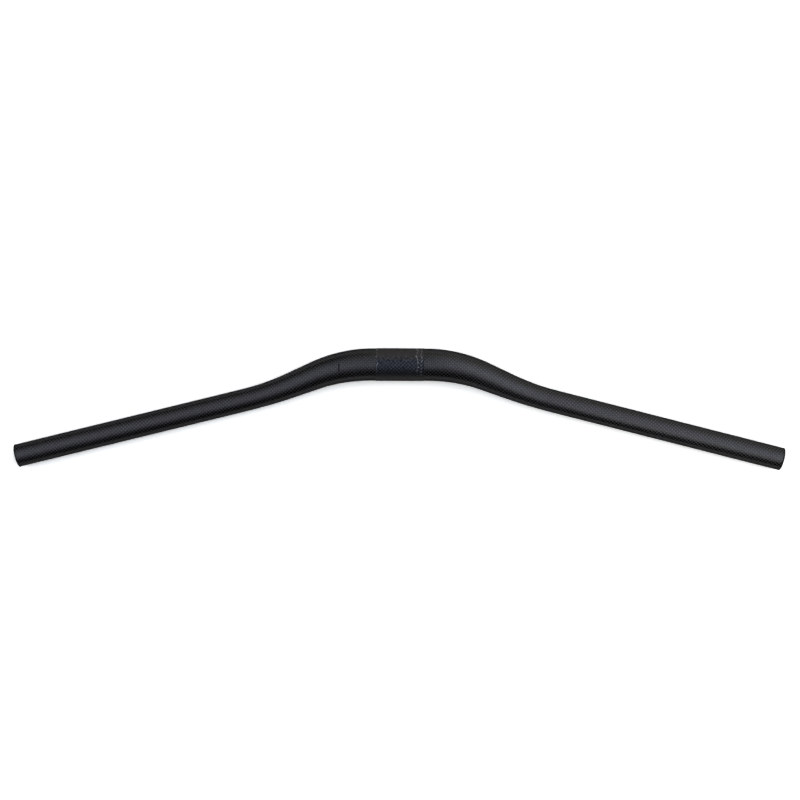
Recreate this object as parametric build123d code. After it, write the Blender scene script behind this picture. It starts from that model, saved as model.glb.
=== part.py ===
from build123d import *
import os
from math import acos, atan2, cos, degrees, hypot, radians, sin, tan

# Riser handlebar: a moulded tube with a push-in plug in each end. Lengths in millimetres, angles in degrees.
# +X runs along the bar, the origin is the clamp zone's middle, and the bar lies flat, its ends towards -Y.

# The bar's line, as it is ridden: reach is measured along the bar from its middle
bar_width = 740.0
shoulder_reach = 55.0
elbow_reach = 127.0
elbow_rise = 13.2
elbow_setback = 26.3
upsweep = 7.9
backsweep = 11.7
shoulder_radius = 145.0
elbow_radius = 320.0

# The tube's round section, and how far inside the two bends its taper starts and ends
clamp_diameter = 31.8
clamp_zone_length = 46.0
clamp_finish_thickness = 0.2
clamp_wall = 2.8
grip_diameter = 22.2
grip_wall = 2.2
taper_lead_in = 2.0
taper_run_out = 5.0
taper_sections = 9
end_chamfer = 0.4

# The plug: a thin lip that covers the tube's end, and a hollow ribbed stem in its bore
lip_overhang = 0.2
lip_thickness = 1.1
lip_chamfer = 0.35
stem_length = 16.0
stem_wall = 1.3
stem_clearance = 0.45
stem_taper = 0.8
rib_count = 8
rib_width = 1.1
rib_clearance = 0.03
rib_setback = 1.5

clamp_radius = clamp_diameter / 2
shell_radius = clamp_radius - clamp_finish_thickness
grip_radius = grip_diameter / 2
grip_bore_radius = grip_radius - grip_wall
lip_radius = grip_radius + lip_overhang
half_width = bar_width / 2
grip_reach = half_width - elbow_reach
end_rise = elbow_rise + grip_reach * tan(radians(upsweep))
end_setback = elbow_setback + grip_reach * tan(radians(backsweep))

# Let go on a flat surface, the bar rolls about its clamp zone until the lips of both plugs touch down too
rest_roll = acos((lip_radius - clamp_radius) / hypot(end_rise, end_setback)) - atan2(end_setback, end_rise)


def laid_down(reach, setback, rise):
    # A point of the ridden bar, rolled back about the clamp zone's axis to where it lies
    across = setback * cos(rest_roll) + rise * sin(rest_roll)
    up = rise * cos(rest_roll) - setback * sin(rest_roll)
    return Vector(reach, -across, up)


middle = laid_down(0, 0, 0)
shoulder = laid_down(shoulder_reach, 0, 0)
elbow = laid_down(elbow_reach, elbow_setback, elbow_rise)
tube_end = laid_down(half_width, end_setback, end_rise)


def bend(corner, before, after, radius):
    # The arc that rounds a corner of the bar's line, tangent to the runs on both sides
    run = radius * tan(radians(before.get_angle(after)) / 2)
    return TangentArc(corner - before * run, corner + after * run, tangent=before)


along_clamp = (shoulder - middle).normalized()
along_ramp = (elbow - shoulder).normalized()
along_grip = (tube_end - elbow).normalized()
shoulder_bend = bend(shoulder, along_clamp, along_ramp, shoulder_radius)
elbow_bend = bend(elbow, along_ramp, along_grip, elbow_radius)
taper_start = (shoulder_bend @ 0).X + taper_lead_in
taper_end = (elbow_bend @ 1).X - taper_run_out


def square_to(place, direction):
    # A plane across the tube, turned the same way at every place so that no section twists
    return Plane(origin=place, x_dir=Vector(0, 0, 1).cross(direction), z_dir=direction)


def tapered(reach, at_clamp, at_grip):
    # A radius or wall that eases from its clamp value to its grip value along the taper
    share = min(max((reach - taper_start) / (taper_end - taper_start), 0), 1)
    return at_clamp + (at_grip - at_clamp) * share * share * (3 - 2 * share)


def round_section(place, direction, radius):
    # A round face across the tube, drawn as two half circles so that the faces swept through it stay light
    plane = square_to(place, direction)
    return Face(Wire([Edge.make_circle(radius, plane, 0, 180), Edge.make_circle(radius, plane, 180, 360)]))


def half_rod(at_clamp, at_grip):
    # The right half as a solid rod: a straight middle, a taper swept through both bends, a straight grip
    bends = Wire([shoulder_bend, Line(shoulder_bend @ 1, elbow_bend @ 0), elbow_bend])
    sections = []
    for step in range(taper_sections):
        share = step / (taper_sections - 1)
        radius = tapered((bends @ share).X, at_clamp, at_grip)
        sections.append(round_section(bends @ share, bends % share, radius))
    middle_run = extrude(square_to(middle, along_clamp) * Circle(at_clamp), (bends @ 0 - middle).length)
    grip_run = extrude(square_to(bends @ 1, along_grip) * Circle(at_grip), (tube_end - bends @ 1).length)
    return middle_run + sweep(sections, path=bends, multisection=True) + grip_run


def make_handlebar():
    outside = half_rod(shell_radius, grip_radius)
    bore = half_rod(shell_radius - clamp_wall, grip_bore_radius)
    half = outside - bore
    end_edges = half.edges().filter_by(GeomType.CIRCLE).sort_by(Axis.X)[-2:]
    half = chamfer(end_edges, end_chamfer)
    clamp_zone = Cylinder(clamp_radius, clamp_zone_length, rotation=(0, 90, 0))
    clamp_zone -= Cylinder(shell_radius - clamp_wall / 2, clamp_zone_length, rotation=(0, 90, 0))
    return half + mirror(half, about=Plane.YZ) + clamp_zone


def make_end_plug():
    # Built about its own axis, with the lip's shoulder at zero and the stem pointing down
    stem_radius = grip_bore_radius - stem_clearance
    hollow_radius = stem_radius - stem_wall
    outline = Polyline(
        (0, lip_thickness),
        (lip_radius - lip_chamfer, lip_thickness),
        (lip_radius, lip_thickness - lip_chamfer),
        (lip_radius, 0),
        (stem_radius, 0),
        (stem_radius, stem_taper - stem_length),
        (stem_radius - stem_taper, -stem_length),
        (hollow_radius, -stem_length),
        (hollow_radius, 0),
        (0, 0),
        close=True,
    )
    plug = revolve(Plane.XZ * make_face(outline), Axis.Z)
    rib_height = stem_length - stem_taper - rib_setback
    rib_depth = grip_bore_radius - rib_clearance - hollow_radius - stem_wall / 2
    rib_place = hollow_radius + stem_wall / 2 + rib_depth / 2
    rib = Box(rib_depth, rib_width, rib_height, align=(Align.CENTER, Align.CENTER, Align.MAX))
    for spoke in PolarLocations(0, rib_count):
        plug += spoke * Pos(rib_place, 0, -rib_setback) * rib
    return plug


def make_parts():
    plug_right = square_to(tube_end, along_grip).location * make_end_plug()
    return {
        "handlebar": make_handlebar(),
        "end_plug_right": plug_right,
        "end_plug_left": mirror(plug_right, about=Plane.YZ),
    }


if __name__ == "__main__":
    os.makedirs("parts", exist_ok=True)
    for name, part in make_parts().items():
        export_step(part, f"parts/{name}.step")
        print(name, len(part.solids()), "solid", round(part.volume), "mm3")
    print("rolled to rest by", round(degrees(rest_roll), 2), "degrees")
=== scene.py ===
from math import acos, atan2, copysign, cos, degrees, hypot, pi, radians, sin, tan

import bmesh
import bpy
from mathutils import Matrix, Vector


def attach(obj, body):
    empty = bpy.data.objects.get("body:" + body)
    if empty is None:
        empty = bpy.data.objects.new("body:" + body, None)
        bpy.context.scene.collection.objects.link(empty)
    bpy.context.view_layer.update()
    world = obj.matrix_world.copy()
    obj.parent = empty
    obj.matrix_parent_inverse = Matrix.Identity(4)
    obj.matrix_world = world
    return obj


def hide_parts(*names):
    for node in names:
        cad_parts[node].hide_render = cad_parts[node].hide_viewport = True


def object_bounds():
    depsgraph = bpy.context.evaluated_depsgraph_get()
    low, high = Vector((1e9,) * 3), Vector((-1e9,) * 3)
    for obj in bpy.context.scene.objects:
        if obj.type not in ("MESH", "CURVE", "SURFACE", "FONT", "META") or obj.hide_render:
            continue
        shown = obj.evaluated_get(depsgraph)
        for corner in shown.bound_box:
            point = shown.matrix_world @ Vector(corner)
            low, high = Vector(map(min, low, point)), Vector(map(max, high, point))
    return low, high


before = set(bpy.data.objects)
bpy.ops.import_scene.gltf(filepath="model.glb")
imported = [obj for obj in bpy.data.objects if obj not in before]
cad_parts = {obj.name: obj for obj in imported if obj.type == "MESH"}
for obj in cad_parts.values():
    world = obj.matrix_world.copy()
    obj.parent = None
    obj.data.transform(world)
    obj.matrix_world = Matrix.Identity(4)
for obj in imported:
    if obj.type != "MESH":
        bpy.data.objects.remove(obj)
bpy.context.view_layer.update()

# Riser handlebar, seen straight from above as it lies on a white table.
# Metres throughout: +X runs along the bar, its ends point towards -Y, and the origin is in the clamp zone's
# middle.

mm = 0.001


# Small helpers

def fromHex(code):
    # sRGB hex to the linear colour that the shaders want
    channels = [int(code[i:i + 2], 16) / 255 for i in (1, 3, 5)]
    return [c / 12.92 if c <= 0.04045 else ((c + 0.055) / 1.055) ** 2.4 for c in channels] + [1.0]


def addNode(tree, kind, inputs=None, **settings):
    # One node with its settings and inputs. An input is a plain value, an output socket, or a node, whose
    # first live output is linked. It is named, or counted among the live ones where names repeat.
    made = tree.nodes.new("ShaderNode" + kind)
    for name, value in settings.items():
        setattr(made, name, value)
    live = [socket for socket in made.inputs if socket.enabled]
    for key, value in (inputs or {}).items():
        socket = live[key] if isinstance(key, int) else next(s for s in live if s.name == key)
        if isinstance(value, bpy.types.Node):
            value = next(s for s in value.outputs if s.enabled)
        if isinstance(value, bpy.types.NodeSocket):
            tree.links.new(value, socket)
        else:
            socket.default_value = value
    return made


def newMaterial(name):
    material = bpy.data.materials.new(name)
    material.use_nodes = True
    material.node_tree.nodes.clear()
    return material, material.node_tree


def meshObject(name, bm, materials):
    mesh = bpy.data.meshes.new(name)
    bm.to_mesh(mesh)
    bm.free()
    for material in materials:
        mesh.materials.append(material)
    made = bpy.data.objects.new(name, mesh)
    bpy.context.scene.collection.objects.link(made)
    return made


# The bar's line: straight middle, shoulder bend, ramp, elbow bend, straight grip. The sizes are the CAD's.

tube = {
    "halfWidth": 370.0 * mm,
    "shoulderReach": 55.0 * mm,
    "elbowReach": 127.0 * mm,
    "elbowRise": 13.2 * mm,
    "elbowSetback": 26.3 * mm,
    "upsweep": 7.9,          # degrees
    "backsweep": 11.7,       # degrees
    "bendRadii": (145.0 * mm, 320.0 * mm),
    "clampRadius": 15.9 * mm,
    "shellRadius": 15.7 * mm,
    "gripRadius": 11.1 * mm,
    "lipRadius": 11.3 * mm,  # of the end plugs, which the bar's ends rest on
    "clampWall": 2.8 * mm,
    "gripWall": 2.2 * mm,
    "taperLeadIn": 2.0 * mm,
    "taperRunOut": 5.0 * mm,
    "clampZoneHalf": 23.0 * mm,
    "zoneEdgeSlope": 0.35 * mm,   # along the bar, over which the coat's edge comes down to the tube
    "ringPastZone": 3.0 * mm,     # one more ring, which keeps that step's shading short
    "endChamfer": 0.4 * mm,
    "segments": 96,
    "bendStep": 1.5,         # degrees between two rings in a bend
    "straightStep": 12 * mm,
    "sharpAbove": 20,        # degrees between two faces
    "weldReach": 0.001 * mm,
}


def lineCorners():
    # The line's corners as it is ridden, rolled about the clamp zone until the plugs' lips touch down too
    gripReach = tube["halfWidth"] - tube["elbowReach"]
    endRise = tube["elbowRise"] + gripReach * tan(radians(tube["upsweep"]))
    endSetback = tube["elbowSetback"] + gripReach * tan(radians(tube["backsweep"]))
    drop = tube["clampRadius"] - tube["lipRadius"]
    roll = acos(-drop / hypot(endRise, endSetback)) - atan2(endSetback, endRise)
    ridden = [
        (0, 0, 0),
        (tube["shoulderReach"], 0, 0),
        (tube["elbowReach"], tube["elbowSetback"], tube["elbowRise"]),
        (tube["halfWidth"], endSetback, endRise),
    ]
    return [Vector((reach, -setback * cos(roll) - rise * sin(roll), rise * cos(roll) - setback * sin(roll)))
            for reach, setback, rise in ridden]


def bendAt(number):
    # The arc that rounds an inner corner of the line: its start and end, and the directions before and after
    corner = corners[number + 1]
    before = (corner - corners[number]).normalized()
    after = (corners[number + 2] - corner).normalized()
    trim = tube["bendRadii"][number] * tan(before.angle(after) / 2)
    return corner - before * trim, corner + after * trim, before, after


corners = lineCorners()
bends = [bendAt(0), bendAt(1)]


def barLine():
    # Stations along the right half: (distance along the line, place, direction)
    stations, travelled = [(0.0, corners[0], bends[0][2])], 0.0
    for radius, (bendStart, bendEnd, before, after) in zip(tube["bendRadii"], bends):
        angle = before.angle(after)
        travelled = addRun(stations, travelled, bendStart, before)
        axis = before.cross(after).normalized()
        centre = bendStart + axis.cross(before) * radius
        steps = max(2, round(degrees(angle) / tube["bendStep"]))
        for step in range(1, steps + 1):
            turn = Matrix.Rotation(angle * step / steps, 3, axis)
            place = centre + turn @ (bendStart - centre)
            stations.append((travelled + radius * angle * step / steps, place, turn @ before))
        travelled += radius * angle
    addRun(stations, travelled, corners[-1], stations[-1][2])
    return stations


def addRun(stations, travelled, end, direction):
    # A straight run in even steps from the last station to end
    start = stations[-1][1].copy()
    length = (end - start).length
    steps = max(1, round(length / tube["straightStep"]))
    for step in range(1, steps + 1):
        stations.append((travelled + length * step / steps, start.lerp(end, step / steps), direction))
    return travelled + length


def taperedValue(reach, atClamp, atGrip):
    # Eases from the clamp's value to the grip's, between the shoulder bend's start and the elbow bend's end
    start = bends[0][0].x + tube["taperLeadIn"]
    end = bends[1][1].x - tube["taperRunOut"]
    share = min(max((reach - start) / (end - start), 0), 1)
    return atClamp + (atGrip - atClamp) * share * share * (3 - 2 * share)


def pointAt(stations, distance):
    # Place and direction at a distance along the line
    for a, b in zip(stations, stations[1:]):
        if distance <= b[0]:
            share = (distance - a[0]) / (b[0] - a[0])
            return a[1].lerp(b[1], share), a[2].lerp(b[2], share).normalized()
    return stations[-1][1], stations[-1][2]


def ringPlan():
    # Every ring of the right half: (distance, place, direction, radius), for the outside and for the bore
    stations = barLine()
    length = stations[-1][0]
    zone, slope, chamfer = tube["clampZoneHalf"], tube["zoneEdgeSlope"], tube["endChamfer"]
    extra = {zone - slope, zone, zone + tube["ringPastZone"], length - chamfer, length}
    distances = sorted({round(station[0], 7) for station in stations[:-1]} | extra)
    skipped = ((zone - slope, zone), (length - chamfer, length))
    distances = [d for d in distances if not any(start < d < end for start, end in skipped)]
    outside, bore = [], []
    for distance in distances:
        place, direction = pointAt(stations, distance)
        shell = taperedValue(place.x, tube["shellRadius"], tube["gripRadius"])
        boreRadius = shell - taperedValue(place.x, tube["clampWall"], tube["gripWall"])
        radius = tube["clampRadius"] if distance <= zone - slope else shell
        if distance == distances[-1]:
            radius, boreRadius = radius - chamfer, boreRadius + chamfer
        outside.append((distance, place, direction, radius))
        bore.append((distance, place, direction, boreRadius))
    return outside, bore


def ringMatrix(place, direction, radius):
    # Carries the unit circle in the XY plane to a ring across the line, its first vertex on the underside
    across = Vector((0, 0, 1)).cross(direction).normalized()
    up = direction.cross(across)
    turn = Matrix((-up, across, direction)).transposed().to_4x4()
    return Matrix.Translation(place) @ turn @ Matrix.Scale(radius, 4)


def makeHandlebar(materials):
    # The right half is one ring, extruded out along the outside and back along the bore
    outside, bore = ringPlan()
    zoneEnd = tube["clampZoneHalf"] + tube["weldReach"]
    bm = bmesh.new()
    distanceOf = bm.verts.layers.float.new("distance")
    ring = bmesh.ops.create_circle(bm, segments=tube["segments"], radius=1.0)["verts"]
    edges = list(bm.edges)
    last = Matrix.Identity(4)
    for number, (distance, place, direction, radius) in enumerate(outside + bore[::-1]):
        if number:
            grown = bmesh.ops.extrude_edge_only(bm, edges=edges)["geom"]
            ring = [g for g in grown if isinstance(g, bmesh.types.BMVert)]
            edges = [g for g in grown if isinstance(g, bmesh.types.BMEdge)]
            edges = [edge for edge in edges if all(vert in ring for vert in edge.verts)]
            inZone = distance <= zoneEnd and number < len(outside)
            for face in [g for g in grown if isinstance(g, bmesh.types.BMFace)]:
                face.material_index = 1 if inZone else 0
        target = ringMatrix(place, direction, radius)
        bmesh.ops.transform(bm, matrix=target @ last.inverted(), verts=ring)
        last = target
        for vert in ring:
            vert[distanceOf] = distance
    # The left half is the mirror image, merged at the middle
    bmesh.ops.mirror(bm, geom=bm.verts[:] + bm.edges[:] + bm.faces[:], axis="X", merge_dist=tube["weldReach"])
    bmesh.ops.remove_doubles(bm, verts=bm.verts, dist=tube["weldReach"])
    bmesh.ops.recalc_face_normals(bm, faces=bm.faces)
    for face in bm.faces:
        face.smooth = True
    for edge in bm.edges:
        if len(edge.link_faces) == 2 and edge.calc_face_angle() > radians(tube["sharpAbove"]):
            edge.smooth = False
    layWeave(bm, distanceOf)
    handlebar = meshObject("handlebar_tube", bm, materials)
    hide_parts("handlebar")
    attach(handlebar, "root")
    return handlebar


def layWeave(bm, distanceOf):
    # The outer ply's own coordinates in mm, warp along U: the cloth keeps the bar's long direction at the top
    # and wraps down both sides, so it turns against the tube's axis where that bends away
    stations = barLine()
    uv = bm.loops.layers.uv.new("weave")
    for face in bm.faces:
        side = 1 if face.calc_center_median().x > 0 else -1
        laid = []
        for loop in face.loops:
            place, direction = pointAt(stations, loop.vert[distanceOf])
            place = Vector((place.x * side, place.y, place.z))
            axis = Vector((direction.x, direction.y * side, direction.z * side))
            across = Vector((0, 0, 1)).cross(axis).normalized()
            offset = loop.vert.co - place
            laid.append((loop, place, atan2(axis.y, axis.x), offset.length,
                         offset.dot(across), offset.dot(axis.cross(across))))
        # No face straddles the seam along the underside: an angle there takes the sign of the face's side
        faceSide = sum(corner[4] for corner in laid)
        for loop, place, slant, radius, sideways, upwards in laid:
            angle = atan2(sideways, upwards)
            if upwards < 0:
                angle = copysign(angle, faceSide)
            wrap = angle * radius
            loop[uv].uv = ((place.x - sin(slant) * wrap) / mm, (place.y + cos(slant) * wrap) / mm)


# Materials

weave = {
    "towWidth": 1.78,        # mm, a 3k tow in plain weave
    "towRelief": 0.03,       # mm, how far a tow rises between crossings
    "crownPower": 0.4,       # how round a tow is across its width, lower is flatter
    "wanderScale": 0.11,     # waves of the tows' wander, for each tow's width
    "wander": 0.5,           # how far the tows wander, in tow widths
    "fibreLine": 0.30,       # mm, fibre bundles within a tow, drawn coarser than the real 0.007
    "fibreStretch": 0.12,    # streaks for each mm along a bundle
    "warpColour": "#464645",
    "weftColour": "#363636",
    "pitColour": "#060607",
    "pitReach": 0.3,         # share of a tow's relief below which the resin pit shows
    "fibreContrast": 0.3,
    "towContrast": 0.15,
    "warpRoughness": 0.28,
    "weftRoughness": 0.13,
    "anisotropy": 0.97,
    "warpTurn": 0.25,        # turns of the highlight's direction, from across the weft to across the warp
    "edgeColour": "#a2a2a2",
    "nickAt": (-58.0, -3.6),   # mm, a dark nick in the cloth at the left shoulder
    "nickHalf": (0.55, 3.6),   # mm, half its width and half its length
    "nickDepth": 0.85,       # share of the colour that it takes away
}


def towCrossings(tree):
    # Plain weave on the tube's own UV: the cloth in mm, the same in tows, each direction's wave, and where
    # the warp is on top
    cloth = addNode(tree, "UVMap", uv_map="weave")
    tows = addNode(tree, "VectorMath", {0: cloth, "Scale": 1 / weave["towWidth"]}, operation="SCALE")
    wander = addNode(tree, "TexNoise", {"Vector": tows, "Scale": weave["wanderScale"], "Detail": 2.0},
                     noise_dimensions="2D").outputs["Color"]
    centred = addNode(tree, "VectorMath", {0: wander, 1: (0.5, 0.5, 0.5)}, operation="SUBTRACT")
    reach = (weave["wander"], weave["wander"], 0.0)
    tows = addNode(tree, "VectorMath", {0: centred, 1: reach, 2: tows}, operation="MULTIPLY_ADD")
    tows = addNode(tree, "SeparateXYZ", {0: tows})
    waves = []
    for axis in ("X", "Y"):
        phase = addNode(tree, "Math", {0: tows.outputs[axis], 1: pi}, operation="MULTIPLY")
        waves.append(addNode(tree, "Math", {0: phase}, operation="SINE"))
    product = addNode(tree, "Math", {0: waves[0], 1: waves[1]}, operation="MULTIPLY")
    warpOnTop = addNode(tree, "Math", {0: product, 1: 0.0}, operation="GREATER_THAN")
    return cloth, tows, waves, warpOnTop


def carbonWeave():
    # Carbon fibre cloth under satin clear lacquer, moulded: near black, each tow bright only across its
    # fibres, so neighbouring crossings part where the light changes; a soft bluish sheen along the top
    material, tree = newMaterial("carbon_cloth_satin_lacquer")
    cloth, tows, waves, warpOnTop = towCrossings(tree)

    # Relief: a tow arches along its length and is rounded across it
    arches = [addNode(tree, "Math", {0: wave}, operation="ABSOLUTE") for wave in waves]
    crowns = [addNode(tree, "Math", {0: arch, 1: weave["crownPower"]}, operation="POWER") for arch in arches]
    warpRelief = addNode(tree, "Math", {0: arches[0], 1: crowns[1]}, operation="MULTIPLY")
    weftRelief = addNode(tree, "Math", {0: arches[1], 1: crowns[0]}, operation="MULTIPLY")
    relief = addNode(tree, "Mix", {"Factor": warpOnTop, "A": weftRelief, "B": warpRelief})
    bump = addNode(tree, "Bump", {"Strength": 1.0, "Distance": weave["towRelief"] * mm, "Height": relief})

    # Fibre bundles run along whichever tow is on top
    fine, coarse = 1 / weave["fibreLine"], weave["fibreStretch"]
    alongWarp = addNode(tree, "VectorMath", {0: cloth, 1: (coarse, fine, 1)}, operation="MULTIPLY")
    alongWeft = addNode(tree, "VectorMath", {0: cloth, 1: (fine, coarse, 1)}, operation="MULTIPLY")
    streaks = addNode(tree, "Mix", {"Factor": warpOnTop, "A": alongWeft, "B": alongWarp}, data_type="VECTOR")
    fibres = addNode(tree, "TexNoise", {"Vector": streaks, "Scale": 1.0, "Detail": 1.0},
                     noise_dimensions="2D")

    # Each crossing has its own shade
    cells = [addNode(tree, "Math", {0: tows.outputs[axis]}, operation="FLOOR") for axis in ("X", "Y")]
    cell = addNode(tree, "CombineXYZ", {0: cells[0], 1: cells[1]})
    towShade = addNode(tree, "TexWhiteNoise", {"Vector": cell}, noise_dimensions="2D")
    least = 1 - weave["towContrast"] / 2 - weave["fibreContrast"] / 2
    shade = addNode(tree, "Math", {0: towShade, 1: weave["towContrast"], 2: least}, operation="MULTIPLY_ADD")
    shade = addNode(tree, "Math", {0: fibres, 1: weave["fibreContrast"], 2: shade}, operation="MULTIPLY_ADD")

    # The nick is a small dark box on the cloth
    spread = addNode(tree, "SeparateXYZ", {0: cloth})
    inNick = 1.0
    for axis in (0, 1):
        place = weave["nickAt"][axis]
        away = addNode(tree, "Math", {0: spread.outputs[axis], 1: place}, operation="SUBTRACT")
        away = addNode(tree, "Math", {0: away}, operation="ABSOLUTE")
        within = addNode(tree, "Math", {0: away, 1: weave["nickHalf"][axis]}, operation="LESS_THAN")
        inNick = addNode(tree, "Math", {0: within, 1: inNick}, operation="MULTIPLY")
    left = addNode(tree, "Math", {0: inNick, 1: -weave["nickDepth"], 2: 1.0}, operation="MULTIPLY_ADD")
    shade = addNode(tree, "Math", {0: shade, 1: left}, operation="MULTIPLY")

    weftColour, warpColour = fromHex(weave["weftColour"]), fromHex(weave["warpColour"])
    base = addNode(tree, "Mix", {"Factor": warpOnTop, "A": weftColour, "B": warpColour}, data_type="RGBA")
    depth = {"Value": relief, "From Max": weave["pitReach"], "To Min": 1.0, "To Max": 0.0}
    pit = addNode(tree, "MapRange", depth)
    pitColour = fromHex(weave["pitColour"])
    base = addNode(tree, "Mix", {"Factor": pit, "A": base, "B": pitColour}, data_type="RGBA")
    base = addNode(tree, "VectorMath", {0: base, "Scale": shade}, operation="SCALE")
    roughness = {"Factor": warpOnTop, "A": weave["weftRoughness"], "B": weave["warpRoughness"]}
    turn = {"Factor": warpOnTop, "A": 0.0, "B": weave["warpTurn"]}
    shader = addNode(tree, "BsdfPrincipled", {
        "Base Color": base,
        "Metallic": 1.0,
        "Roughness": addNode(tree, "Mix", roughness),
        "Normal": bump,
        "Anisotropic": weave["anisotropy"],
        "Anisotropic Rotation": addNode(tree, "Mix", turn),
        "Tangent": addNode(tree, "Tangent", direction_type="UV_MAP", uv_map="weave"),
        "Specular Tint": fromHex(weave["edgeColour"]),
    })
    addNode(tree, "OutputMaterial", {"Surface": shader})
    return material


clampFinish = {
    # The coat's colour over the top, then its lighter colour down the sides, which is painted light and shade
    # across the tube
    "overTopColour": "#2b2d31",
    "litSidesColour": "#42403f",
    "chipColour": "#727370",
    "litSidesFrom": (3.0, 9.0),     # mm round from the top, between which the colour turns from the darker top to the lighter sides, painted light and shade across the tube
    "litSidesLow": (-9.0, -15.0),   # the same towards the near side
    "litSidesWander": 8.0,      # mm, how far that turn wanders with the mottle
    "weaveShows": 0.42,      # contrast of the cloth under the coat over the top
    "mottleSize": 2.4,       # mm
    "mottle": 0.9,
    "litSidesMottle": 0.6,
    "grit": 0.9,             # mm, size of the sprayed grains, drawn coarser than the real 0.2
    "gritHeight": 0.03,      # mm
    "roughness": 0.5,
    "edgeColour": "#a4a4a4",
    "chipLines": (-22.6, 16.8, 20.8),  # mm along the bar, where the masked coat has chipped
    "chipHalfWidth": 0.5,    # mm
    "chipWander": 2.2,       # mm
    "chipWave": 6.0,         # mm, size of that wander's waves
    "chipLength": 1.7,       # mm
    "chipBias": 0.009,       # how much more is chipped for each mm towards the far side
    "chipNoise": (0.46, 0.66),  # noise levels between which a line goes from whole to chipped
}


def clampCoating():
    # Sprayed anti-slip coating, matt and faintly gritty: over the top the cloth shows through it in dull
    # blue-black patches, down both sides it is plain and drawn lighter, which is painted light and shade
    # across the tube, and it is chipped pale at the masked edges
    material, tree = newMaterial("sprayed_grit_coating")
    cloth, tows, waves, warpOnTop = towCrossings(tree)
    split = addNode(tree, "SeparateXYZ", {0: cloth})
    along, around = split.outputs["X"], split.outputs["Y"]
    grit, mottle, chipWave, chipBreaks = [
        addNode(tree, "TexNoise", {"Vector": cloth, "Scale": 1 / clampFinish[size], "Detail": detail},
                noise_dimensions="2D")
        for size, detail in (("grit", 2.0), ("mottleSize", 2.0), ("chipWave", 1.0), ("chipLength", 1.0))]

    # Towards the sides, where the coat is drawn lighter as painted light: 0 over the top, 1 down the sides
    edge = addNode(tree, "Math", {0: mottle, 1: 0.5}, operation="SUBTRACT")
    reach = clampFinish["litSidesWander"]
    edge = addNode(tree, "Math", {0: edge, 1: reach, 2: around}, operation="MULTIPLY_ADD")
    towardSides = 0.0
    for start, full in (clampFinish["litSidesFrom"], clampFinish["litSidesLow"]):
        turned = addNode(tree, "MapRange", {"Value": edge, "From Min": start, "From Max": full})
        towardSides = addNode(tree, "Math", {0: turned, 1: towardSides}, operation="MAXIMUM")

    # Over the top the coat shows the cloth, mottled; down the sides only its own grit and mottle, in the
    # lighter painted-light colour
    shows, mottled, rough = clampFinish["weaveShows"], clampFinish["mottle"], clampFinish["litSidesMottle"]
    clothShade = addNode(tree, "Math", {0: warpOnTop, 1: 2 * shows, 2: 1 - shows}, operation="MULTIPLY_ADD")
    patches = addNode(tree, "Math", {0: mottle, 1: 2 * mottled, 2: 1 - mottled}, operation="MULTIPLY_ADD")
    overTopShade = addNode(tree, "Math", {0: clothShade, 1: patches}, operation="MULTIPLY")
    grains = addNode(tree, "Math", {0: grit, 1: mottle}, operation="ADD")
    litSidesShade = addNode(tree, "Math", {0: grains, 1: rough, 2: 1 - rough}, operation="MULTIPLY_ADD")
    overTopColour, litSidesColour = [fromHex(clampFinish[name])[:3] for name in ("overTopColour", "litSidesColour")]
    overTop = addNode(tree, "VectorMath", {0: overTopColour, "Scale": overTopShade}, operation="SCALE")
    plain = addNode(tree, "VectorMath", {0: litSidesColour, "Scale": litSidesShade}, operation="SCALE")
    # Painted light and shade: the sides' lighter colour against the top's darker one
    base = addNode(tree, "Mix", {"Factor": towardSides, "A": overTop, "B": plain}, data_type="RGBA")

    # Chips: thin wandering lines round the bar, broken up by a noise
    wander = addNode(tree, "Math", {0: chipWave, 1: 0.5}, operation="SUBTRACT")
    reach, bias = 2 * clampFinish["chipWander"], clampFinish["chipBias"]
    wander = addNode(tree, "Math", {0: wander, 1: reach, 2: along}, operation="MULTIPLY_ADD")
    worn = addNode(tree, "Math", {0: around, 1: bias, 2: chipBreaks}, operation="MULTIPLY_ADD")
    whole, chipped = clampFinish["chipNoise"]
    broken = addNode(tree, "MapRange", {"Value": worn, "From Min": whole, "From Max": chipped})
    lines = 0.0
    for place in clampFinish["chipLines"]:
        away = addNode(tree, "Math", {0: wander, 1: place}, operation="SUBTRACT")
        away = addNode(tree, "Math", {0: away}, operation="ABSOLUTE")
        line = addNode(tree, "Math", {0: away, 1: clampFinish["chipHalfWidth"]}, operation="LESS_THAN")
        lines = addNode(tree, "Math", {0: line, 1: lines}, operation="MAXIMUM")
    chips = addNode(tree, "Math", {0: lines, 1: broken}, operation="MULTIPLY")
    chipColour = fromHex(clampFinish["chipColour"])
    base = addNode(tree, "Mix", {"Factor": chips, "A": base, "B": chipColour}, data_type="RGBA")
    height = {"Strength": 1.0, "Distance": clampFinish["gritHeight"] * mm, "Height": grit}
    shader = addNode(tree, "BsdfPrincipled", {
        "Base Color": base,
        "Metallic": 1.0,
        "Roughness": clampFinish["roughness"],
        "Specular Tint": fromHex(clampFinish["edgeColour"]),
        "Normal": addNode(tree, "Bump", height),
    })
    addNode(tree, "OutputMaterial", {"Surface": shader})
    return material


plug = {
    "lowColour": "#070707",
    "highColour": "#0c0c0c",
    "grainScale": 1800.0,    # for each metre, so a mould grain of about 0.6 mm
    "grainHeight": 0.02,     # mm
    "grainStrength": 0.6,
    "roughness": 0.5,
    "specular": 0.25,
}


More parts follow.
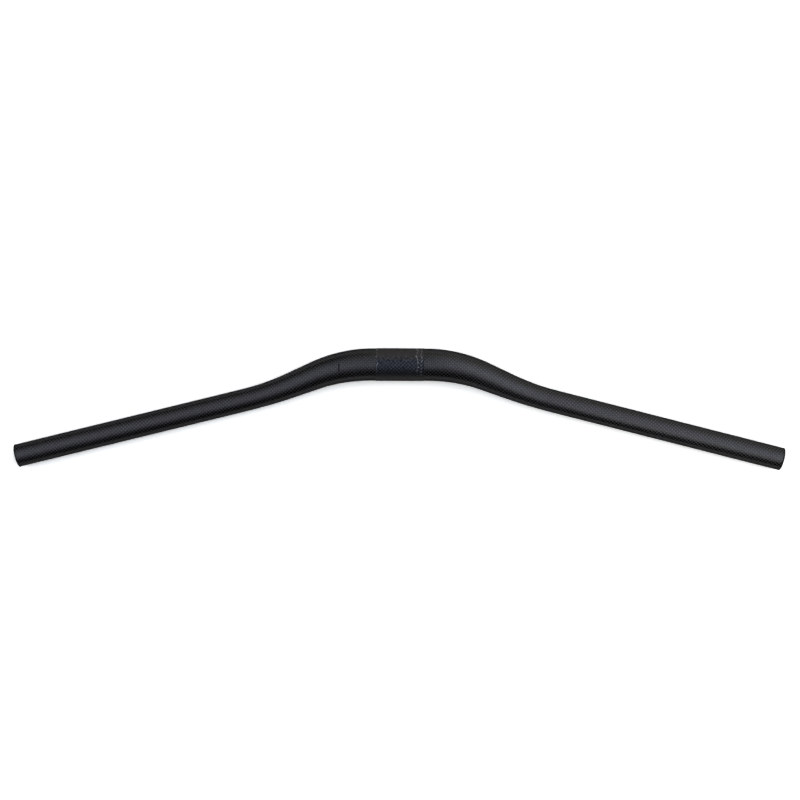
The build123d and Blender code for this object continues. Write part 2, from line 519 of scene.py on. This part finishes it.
def plugPlastic():
    # Black moulded polyethylene: dull, a little rough from the mould
    material, tree = newMaterial("moulded_black_polyethylene")
    place = addNode(tree, "TexCoord").outputs["Object"]
    grain = addNode(tree, "TexNoise", {"Vector": place, "Scale": plug["grainScale"], "Detail": 2.0})
    lowColour, highColour = fromHex(plug["lowColour"]), fromHex(plug["highColour"])
    height = {"Strength": plug["grainStrength"], "Distance": plug["grainHeight"] * mm, "Height": grain}
    base = addNode(tree, "Mix", {"Factor": grain, "A": lowColour, "B": highColour}, data_type="RGBA")
    shader = addNode(tree, "BsdfPrincipled", {
        "Base Color": base,
        "Roughness": plug["roughness"],
        "Specular IOR Level": plug["specular"],
        "Normal": addNode(tree, "Bump", height),
    })
    addNode(tree, "OutputMaterial", {"Surface": shader})
    return material


carbon, coating, plastic = carbonWeave(), clampCoating(), plugPlastic()
print("materials made")

handlebar = makeHandlebar([carbon, coating])
print("handlebar built:", len(handlebar.data.polygons), "faces")

for name in ("end_plug_left", "end_plug_right"):
    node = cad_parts[name]
    node.data.materials.clear()
    node.data.materials.append(plastic)
print("plugs given their plastic")


# Stage: a white table, a sky of soft light, and a soft box near the right grip

stage = {
    "tableSize": 60.0,
    "tableGap": 0.02 * mm,
    "tableColour": 0.82,     # what the table throws back on the bar
    "tableMirrored": 0.8,
    "tableSeen": 1.52,       # what the camera sees, so that the table is white and keeps the bar's shadow
    "tableTint": (1.05, 1.04, 0.9),
    "sideReach": 0.3,        # sideways lean, as a sine, at which the light is all of the left or right list
    # The studio's banks of light: (lean across the bar in degrees, level), positive towards the far side
    "left": [(-70, 0), (-40, 0.7), (-8, 1.6), (20, 1.35), (45, 0.65), (75, 0)],
    "middle": [(-52, 0), (-36, 0.3), (-14, 1.15), (0, 1.2), (36, 0.8), (64, 0.7), (90, 0.35)],
    "right": [(-30, 0), (-20, 0.6), (-2, 2.05), (10, 2.25), (40, 1.4), (64, 0.95), (90, 0.4)],
    "brightest": 2.5,        # the level at which a ramp is full white
    "coolTint": (0.925, 0.96, 1.15),
    "warmTint": (1.05, 1.02, 0.92),
    "tintTurns": (35, 80),   # degrees of lean between which the light turns from cool to warm
    "boxPlace": (0.4, -0.3, 0.5),
    "boxSize": (0.5, 0.4),
    "boxLevel": 1.1,
}


def makeTable():
    material, tree = newMaterial("white_table")
    path = addNode(tree, "LightPath")
    glossy, through, seen = [path.outputs[name] for name in
                             ("Is Glossy Ray", "Is Transmission Ray", "Is Camera Ray")]
    mirrored = addNode(tree, "Math", {0: glossy, 1: through}, operation="MAXIMUM")
    level = addNode(tree, "Mix", {"Factor": mirrored, "A": stage["tableColour"], "B": stage["tableMirrored"]})
    level = addNode(tree, "Mix", {"Factor": seen, "A": level, "B": stage["tableSeen"]})
    colour = addNode(tree, "VectorMath", {0: stage["tableTint"], "Scale": level}, operation="SCALE")
    shader = addNode(tree, "BsdfDiffuse", {"Color": colour})
    addNode(tree, "OutputMaterial", {"Surface": shader})
    bm = bmesh.new()
    bmesh.ops.create_grid(bm, x_segments=1, y_segments=1, size=stage["tableSize"] / 2)
    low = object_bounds()[0].z - stage["tableGap"]
    bmesh.ops.translate(bm, vec=(0, 0, low), verts=bm.verts)
    table = meshObject("table", bm, [material])


def makeSky():
    # The sky as a studio: light by its lean across the bar, in three banks that blend sideways
    world = bpy.data.worlds.new("studio")
    bpy.context.scene.world = world
    world.use_nodes = True
    tree = world.node_tree
    tree.nodes.clear()
    toLight = addNode(tree, "TexCoord").outputs["Generated"]
    split = addNode(tree, "SeparateXYZ", {0: toLight})
    lean = addNode(tree, "Math", {0: split.outputs["Y"], 1: split.outputs["Z"]}, operation="ARCTAN2")
    share = addNode(tree, "MapRange", {"Value": lean, "From Min": -pi / 2, "From Max": pi / 2})
    banks = {}
    for name in ("left", "middle", "right"):
        banks[name] = addNode(tree, "ValToRGB", {0: share})
        elements = banks[name].color_ramp.elements
        while len(elements) < len(stage[name]):
            elements.new(0.5)
        for element, (degree, level) in zip(elements, stage[name]):
            level = level / stage["brightest"]
            element.position = (degree + 90) / 180
            element.color = (level, level, level, 1)
    light = banks["middle"]
    for name, reach in (("left", -stage["sideReach"]), ("right", stage["sideReach"])):
        sideways = addNode(tree, "MapRange", {"Value": split.outputs["X"], "From Max": reach})
        light = addNode(tree, "Mix", {"Factor": sideways, "A": light, "B": banks[name]}, data_type="RGBA")
    coolEnd, warmEnd = [radians(v) for v in stage["tintTurns"]]
    warmth = addNode(tree, "MapRange", {"Value": lean, "From Min": coolEnd, "From Max": warmEnd})
    tints = {"Factor": warmth, "A": stage["coolTint"], "B": stage["warmTint"]}
    tint = addNode(tree, "Mix", tints, data_type="VECTOR")
    light = addNode(tree, "VectorMath", {0: light, 1: tint}, operation="MULTIPLY")
    studio = addNode(tree, "Background", {"Color": light, "Strength": stage["brightest"]})
    # The camera sees plain white behind the table
    white = addNode(tree, "Background", {"Color": (1, 1, 1, 1), "Strength": 1.0})
    seen = addNode(tree, "LightPath").outputs["Is Camera Ray"]
    background = addNode(tree, "MixShader", {0: seen, 1: studio, 2: white})
    addNode(tree, "OutputWorld", {"Surface": background})


def makeSoftBox():
    # A soft box low over the right grip, which widens its lit band towards the viewer's side
    data = bpy.data.lights.new("soft_box", "AREA")
    data.shape = "RECTANGLE"
    data.size, data.size_y = stage["boxSize"]
    data.energy = stage["boxLevel"] * pi * data.size * data.size_y
    box = bpy.data.objects.new("soft_box", data)
    box.location = stage["boxPlace"]
    bpy.context.scene.collection.objects.link(box)


view = {
    "height": 1.5,           # m above the clamp zone's axis
    "fieldAtAxis": 0.7743,   # m that the picture spans at the axis
    "originPixel": (399.85, 364.62),
    "roll": 0.265,           # degrees, right end low
    "pictureSize": 800,      # pixels
    "clip": (0.05, 100.0),
}


def makeCamera():
    data = bpy.data.cameras.new("camera")
    data.lens = data.sensor_width * view["height"] / view["fieldAtAxis"]
    data.clip_start, data.clip_end = view["clip"]
    scale = view["fieldAtAxis"] / view["pictureSize"]
    half = view["pictureSize"] / 2
    right, up = (half - view["originPixel"][0]) * scale, (view["originPixel"][1] - half) * scale
    turn = radians(view["roll"])
    camera = bpy.data.objects.new("camera", data)
    bpy.context.scene.collection.objects.link(camera)
    # The picture's centre, turned back into the row frame
    camera.location = (right * cos(turn) - up * sin(turn), right * sin(turn) + up * cos(turn), view["height"])
    camera.rotation_euler = (0, 0, turn)
    bpy.context.scene.camera = camera


makeTable()
makeSky()
makeSoftBox()
makeCamera()
bpy.context.scene.view_settings.view_transform = "Standard"
print("table, light and camera ready")
